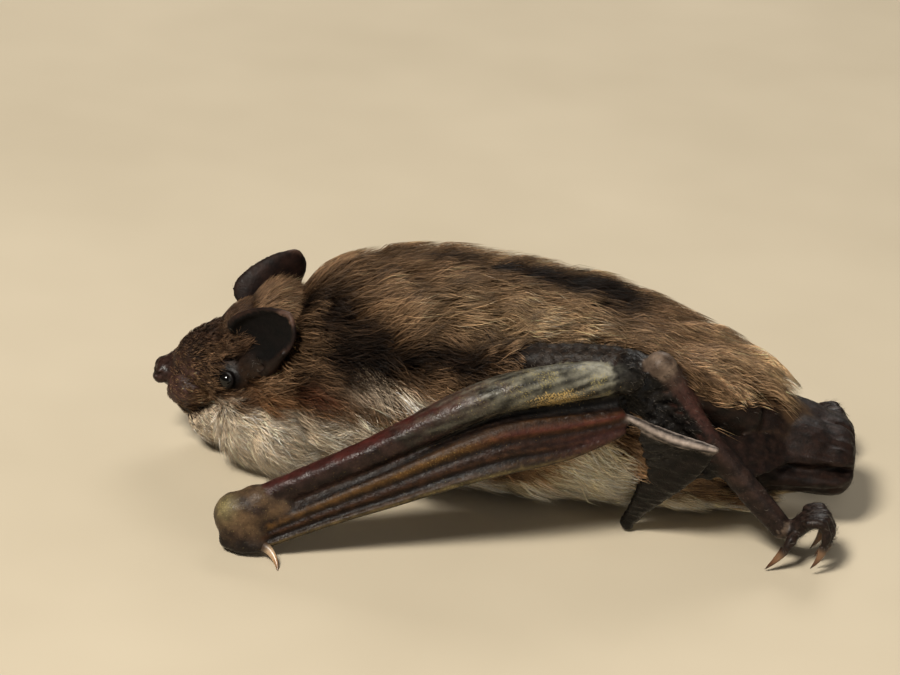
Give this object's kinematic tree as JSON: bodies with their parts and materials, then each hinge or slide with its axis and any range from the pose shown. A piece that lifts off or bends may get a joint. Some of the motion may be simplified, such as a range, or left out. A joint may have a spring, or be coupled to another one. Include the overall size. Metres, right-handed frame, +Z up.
{
  "type": "wild bat animal",
  "caption": "Small brown vesper bat lying on its belly with its wings folded along its flanks, head low, ears up and tail membrane tucked under behind.",
  "frame": {"origin": "on the floor, under the middle of the bounding box", "axes": "+X from the nose towards the tail, +Z up, the left side faces -Y"},
  "size_m": [0.0541, 0.0374, 0.0179],
  "materials": {
    "brown_fur": "long soft brown fur with pale tips",
    "face_fur": "short dark brown fur",
    "wing_skin": "dark brown bare skin, slightly glossy",
    "arm_skin": "dark skin over bone, dusted grey green",
    "eye": "wet black",
    "claw": "translucent orange brown horn"
  },
  "bodies": {
    "root": {"ear_left": "wing_skin", "ear_right": "wing_skin", "eye_left": "eye", "eye_right": "eye", "finger_left": "wing_skin", "finger_right": "wing_skin", "foot_left": "wing_skin", "foot_right": "wing_skin", "forearm_left": "arm_skin", "forearm_right": "arm_skin", "hand_left": "wing_skin", "hand_right": "wing_skin", "head": "face_fur", "neck": "brown_fur", "shin_left": "wing_skin", "shin_right": "wing_skin", "side_membrane_left": "wing_skin", "side_membrane_right": "wing_skin", "tail": "wing_skin", "tail_membrane_left": "wing_skin", "tail_membrane_right": "wing_skin", "thigh_left": "brown_fur", "thigh_right": "brown_fur", "thumb_claw_left": "claw", "thumb_claw_right": "claw", "thumb_left": "wing_skin", "thumb_right": "wing_skin", "toe_claw_left_1": "claw", "toe_claw_left_2": "claw", "toe_claw_left_3": "claw", "toe_claw_left_4": "claw", "toe_claw_left_5": "claw", "toe_claw_right_1": "claw", "toe_claw_right_2": "claw", "toe_claw_right_3": "claw", "toe_claw_right_4": "claw", "toe_claw_right_5": "claw", "tragus_left": "wing_skin", "tragus_right": "wing_skin", "trunk": "brown_fur", "upper_arm_left": "wing_skin", "upper_arm_right": "wing_skin", "wing_tip_left": "wing_skin", "wing_tip_right": "wing_skin", "wrist_left": "arm_skin", "wrist_right": "arm_skin"}
  },
  "joints": []
}
